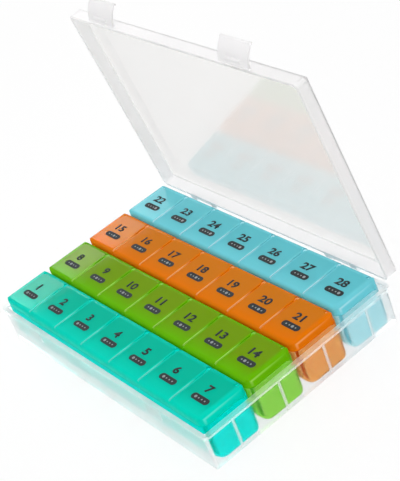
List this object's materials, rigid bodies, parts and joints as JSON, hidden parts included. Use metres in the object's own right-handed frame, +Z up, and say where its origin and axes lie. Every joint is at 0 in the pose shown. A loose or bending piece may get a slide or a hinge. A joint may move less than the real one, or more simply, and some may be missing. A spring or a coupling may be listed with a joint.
{
  "type": "monthly pill organizer",
  "caption": "Flat frosted carrying case with a hinged latching cover that holds lift-out weekly strips of tinted pill compartments, each with its own flip lid.",
  "frame": {"origin": "centre of the case's underside, on the surface it stands on", "axes": "+X along a week's compartments, +Y from the front to the cover's hinge, +Z up"},
  "size_m": [0.189, 0.1312, 0.1603],
  "materials": {
    "case_frost": "frosted see-through moulding",
    "week_1_tint": "teal see-through moulding",
    "week_2_tint": "green see-through moulding",
    "week_3_tint": "orange see-through moulding",
    "week_4_tint": "light blue see-through moulding"
  },
  "bodies": {
    "case": {"case_base": "case_frost"},
    "cover": {"case_cover": "case_frost"},
    "latch_left": {"latch_left": "case_frost"},
    "latch_right": {"latch_right": "case_frost"},
    "week_1": {"week_1_tray": "week_1_tint"},
    "week_1_lid_1": {"week_1_lid_1": "week_1_tint"},
    "week_1_lid_2": {"week_1_lid_2": "week_1_tint"},
    "week_1_lid_3": {"week_1_lid_3": "week_1_tint"},
    "week_1_lid_4": {"week_1_lid_4": "week_1_tint"},
    "week_1_lid_5": {"week_1_lid_5": "week_1_tint"},
    "week_1_lid_6": {"week_1_lid_6": "week_1_tint"},
    "week_1_lid_7": {"week_1_lid_7": "week_1_tint"},
    "week_2": {"week_2_tray": "week_2_tint"},
    "week_2_lid_1": {"week_2_lid_1": "week_2_tint"},
    "week_2_lid_2": {"week_2_lid_2": "week_2_tint"},
    "week_2_lid_3": {"week_2_lid_3": "week_2_tint"},
    "week_2_lid_4": {"week_2_lid_4": "week_2_tint"},
    "week_2_lid_5": {"week_2_lid_5": "week_2_tint"},
    "week_2_lid_6": {"week_2_lid_6": "week_2_tint"},
    "week_2_lid_7": {"week_2_lid_7": "week_2_tint"},
    "week_3": {"week_3_tray": "week_3_tint"},
    "week_3_lid_1": {"week_3_lid_1": "week_3_tint"},
    "week_3_lid_2": {"week_3_lid_2": "week_3_tint"},
    "week_3_lid_3": {"week_3_lid_3": "week_3_tint"},
    "week_3_lid_4": {"week_3_lid_4": "week_3_tint"},
    "week_3_lid_5": {"week_3_lid_5": "week_3_tint"},
    "week_3_lid_6": {"week_3_lid_6": "week_3_tint"},
    "week_3_lid_7": {"week_3_lid_7": "week_3_tint"},
    "week_4": {"week_4_tray": "week_4_tint"},
    "week_4_lid_1": {"week_4_lid_1": "week_4_tint"},
    "week_4_lid_2": {"week_4_lid_2": "week_4_tint"},
    "week_4_lid_3": {"week_4_lid_3": "week_4_tint"},
    "week_4_lid_4": {"week_4_lid_4": "week_4_tint"},
    "week_4_lid_5": {"week_4_lid_5": "week_4_tint"},
    "week_4_lid_6": {"week_4_lid_6": "week_4_tint"},
    "week_4_lid_7": {"week_4_lid_7": "week_4_tint"}
  },
  "joints": [
    {"name": "cover_hinge", "type": "hinge", "parent": "case", "child": "cover", "pos_m": [0, 0.0635, 0.0239], "axis": [-1, 0, 0], "range_deg": [-82.5, 27.5]},
    {"name": "latch_left_hinge", "type": "hinge", "parent": "cover", "child": "latch_left", "pos_m": [-0.062, 0.04608, 0.1493], "axis": [1, 0, 0], "range_deg": [0, 102]},
    {"name": "latch_right_hinge", "type": "hinge", "parent": "cover", "child": "latch_right", "pos_m": [0.05, 0.04608, 0.1493], "axis": [1, 0, 0], "range_deg": [0, 102]},
    {"name": "week_1_lift", "type": "slide", "parent": "case", "child": "week_1", "axis": [0, 0, 1], "range_m": [0, 0.04]},
    {"name": "week_1_lid_1_hinge", "type": "hinge", "parent": "week_1", "child": "week_1_lid_1", "pos_m": [-0.078, -0.0326, 0.0255], "axis": [-1, 0, 0], "range_deg": [0, 100]},
    {"name": "week_1_lid_2_hinge", "type": "hinge", "parent": "week_1", "child": "week_1_lid_2", "pos_m": [-0.052, -0.0326, 0.0255], "axis": [-1, 0, 0], "range_deg": [0, 100]},
    {"name": "week_1_lid_3_hinge", "type": "hinge", "parent": "week_1", "child": "week_1_lid_3", "pos_m": [-0.026, -0.0326, 0.0255], "axis": [-1, 0, 0], "range_deg": [0, 100]},
    {"name": "week_1_lid_4_hinge", "type": "hinge", "parent": "week_1", "child": "week_1_lid_4", "pos_m": [0, -0.0326, 0.0255], "axis": [-1, 0, 0], "range_deg": [0, 100]},
    {"name": "week_1_lid_5_hinge", "type": "hinge", "parent": "week_1", "child": "week_1_lid_5", "pos_m": [0.026, -0.0326, 0.0255], "axis": [-1, 0, 0], "range_deg": [0, 100]},
    {"name": "week_1_lid_6_hinge", "type": "hinge", "parent": "week_1", "child": "week_1_lid_6", "pos_m": [0.052, -0.0326, 0.0255], "axis": [-1, 0, 0], "range_deg": [0, 100]},
    {"name": "week_1_lid_7_hinge", "type": "hinge", "parent": "week_1", "child": "week_1_lid_7", "pos_m": [0.078, -0.0326, 0.0255], "axis": [-1, 0, 0], "range_deg": [0, 100]},
    {"name": "week_2_lift", "type": "slide", "parent": "case", "child": "week_2", "axis": [0, 0, 1], "range_m": [0, 0.04]},
    {"name": "week_2_lid_1_hinge", "type": "hinge", "parent": "week_2", "child": "week_2_lid_1", "pos_m": [-0.078, -0.0031, 0.0255], "axis": [-1, 0, 0], "range_deg": [0, 100]},
    {"name": "week_2_lid_2_hinge", "type": "hinge", "parent": "week_2", "child": "week_2_lid_2", "pos_m": [-0.052, -0.0031, 0.0255], "axis": [-1, 0, 0], "range_deg": [0, 100]},
    {"name": "week_2_lid_3_hinge", "type": "hinge", "parent": "week_2", "child": "week_2_lid_3", "pos_m": [-0.026, -0.0031, 0.0255], "axis": [-1, 0, 0], "range_deg": [0, 100]},
    {"name": "week_2_lid_4_hinge", "type": "hinge", "parent": "week_2", "child": "week_2_lid_4", "pos_m": [0, -0.0031, 0.0255], "axis": [-1, 0, 0], "range_deg": [0, 100]},
    {"name": "week_2_lid_5_hinge", "type": "hinge", "parent": "week_2", "child": "week_2_lid_5", "pos_m": [0.026, -0.0031, 0.0255], "axis": [-1, 0, 0], "range_deg": [0, 100]},
    {"name": "week_2_lid_6_hinge", "type": "hinge", "parent": "week_2", "child": "week_2_lid_6", "pos_m": [0.052, -0.0031, 0.0255], "axis": [-1, 0, 0], "range_deg": [0, 100]},
    {"name": "week_2_lid_7_hinge", "type": "hinge", "parent": "week_2", "child": "week_2_lid_7", "pos_m": [0.078, -0.0031, 0.0255], "axis": [-1, 0, 0], "range_deg": [0, 100]},
    {"name": "week_3_lift", "type": "slide", "parent": "case", "child": "week_3", "axis": [0, 0, 1], "range_m": [0, 0.04]},
    {"name": "week_3_lid_1_hinge", "type": "hinge", "parent": "week_3", "child": "week_3_lid_1", "pos_m": [-0.078, 0.0264, 0.0255], "axis": [-1, 0, 0], "range_deg": [0, 100]},
    {"name": "week_3_lid_2_hinge", "type": "hinge", "parent": "week_3", "child": "week_3_lid_2", "pos_m": [-0.052, 0.0264, 0.0255], "axis": [-1, 0, 0], "range_deg": [0, 100]},
    {"name": "week_3_lid_3_hinge", "type": "hinge", "parent": "week_3", "child": "week_3_lid_3", "pos_m": [-0.026, 0.0264, 0.0255], "axis": [-1, 0, 0], "range_deg": [0, 100]},
    {"name": "week_3_lid_4_hinge", "type": "hinge", "parent": "week_3", "child": "week_3_lid_4", "pos_m": [0, 0.0264, 0.0255], "axis": [-1, 0, 0], "range_deg": [0, 100]},
    {"name": "week_3_lid_5_hinge", "type": "hinge", "parent": "week_3", "child": "week_3_lid_5", "pos_m": [0.026, 0.0264, 0.0255], "axis": [-1, 0, 0], "range_deg": [0, 100]},
    {"name": "week_3_lid_6_hinge", "type": "hinge", "parent": "week_3", "child": "week_3_lid_6", "pos_m": [0.052, 0.0264, 0.0255], "axis": [-1, 0, 0], "range_deg": [0, 100]},
    {"name": "week_3_lid_7_hinge", "type": "hinge", "parent": "week_3", "child": "week_3_lid_7", "pos_m": [0.078, 0.0264, 0.0255], "axis": [-1, 0, 0], "range_deg": [0, 100]},
    {"name": "week_4_lift", "type": "slide", "parent": "case", "child": "week_4", "axis": [0, 0, 1], "range_m": [0, 0.04]},
    {"name": "week_4_lid_1_hinge", "type": "hinge", "parent": "week_4", "child": "week_4_lid_1", "pos_m": [-0.078, 0.0559, 0.0255], "axis": [-1, 0, 0], "range_deg": [0, 100]},
    {"name": "week_4_lid_2_hinge", "type": "hinge", "parent": "week_4", "child": "week_4_lid_2", "pos_m": [-0.052, 0.0559, 0.0255], "axis": [-1, 0, 0], "range_deg": [0, 100]},
    {"name": "week_4_lid_3_hinge", "type": "hinge", "parent": "week_4", "child": "week_4_lid_3", "pos_m": [-0.026, 0.0559, 0.0255], "axis": [-1, 0, 0], "range_deg": [0, 100]},
    {"name": "week_4_lid_4_hinge", "type": "hinge", "parent": "week_4", "child": "week_4_lid_4", "pos_m": [0, 0.0559, 0.0255], "axis": [-1, 0, 0], "range_deg": [0, 100]},
    {"name": "week_4_lid_5_hinge", "type": "hinge", "parent": "week_4", "child": "week_4_lid_5", "pos_m": [0.026, 0.0559, 0.0255], "axis": [-1, 0, 0], "range_deg": [0, 100]},
    {"name": "week_4_lid_6_hinge", "type": "hinge", "parent": "week_4", "child": "week_4_lid_6", "pos_m": [0.052, 0.0559, 0.0255], "axis": [-1, 0, 0], "range_deg": [0, 100]},
    {"name": "week_4_lid_7_hinge", "type": "hinge", "parent": "week_4", "child": "week_4_lid_7", "pos_m": [0.078, 0.0559, 0.0255], "axis": [-1, 0, 0], "range_deg": [0, 100]}
  ]
}
